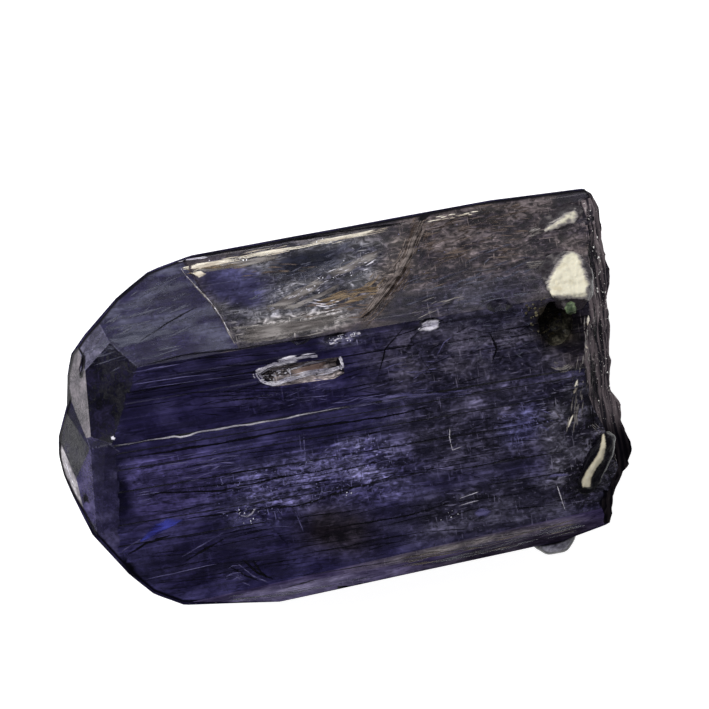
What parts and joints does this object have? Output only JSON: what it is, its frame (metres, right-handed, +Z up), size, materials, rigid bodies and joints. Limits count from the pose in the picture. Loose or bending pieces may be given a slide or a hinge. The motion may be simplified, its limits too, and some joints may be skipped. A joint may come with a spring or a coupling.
{
  "type": "rough tanzanite crystal",
  "caption": "Blocky violet-blue tanzanite prism, slanted facets at one end, broken at the other, with remnants of cream calcite.",
  "frame": {"origin": "centre of the crystal's footprint, on the surface that it lies on", "axes": "+X along the prism towards the broken end, +Y towards the back slope, +Z up"},
  "size_m": [0.038, 0.024, 0.0156],
  "materials": {
    "tanzanite": "clear violet-blue crystal, glassy with fine striations, inner veils and frosted, chipped areas",
    "calcite": "matte cream mineral crust"
  },
  "bodies": {
    "root": {"crystal": "tanzanite", "calcite_patch": "calcite", "calcite_fleck": "calcite", "calcite_sliver": "calcite"}
  },
  "joints": []
}
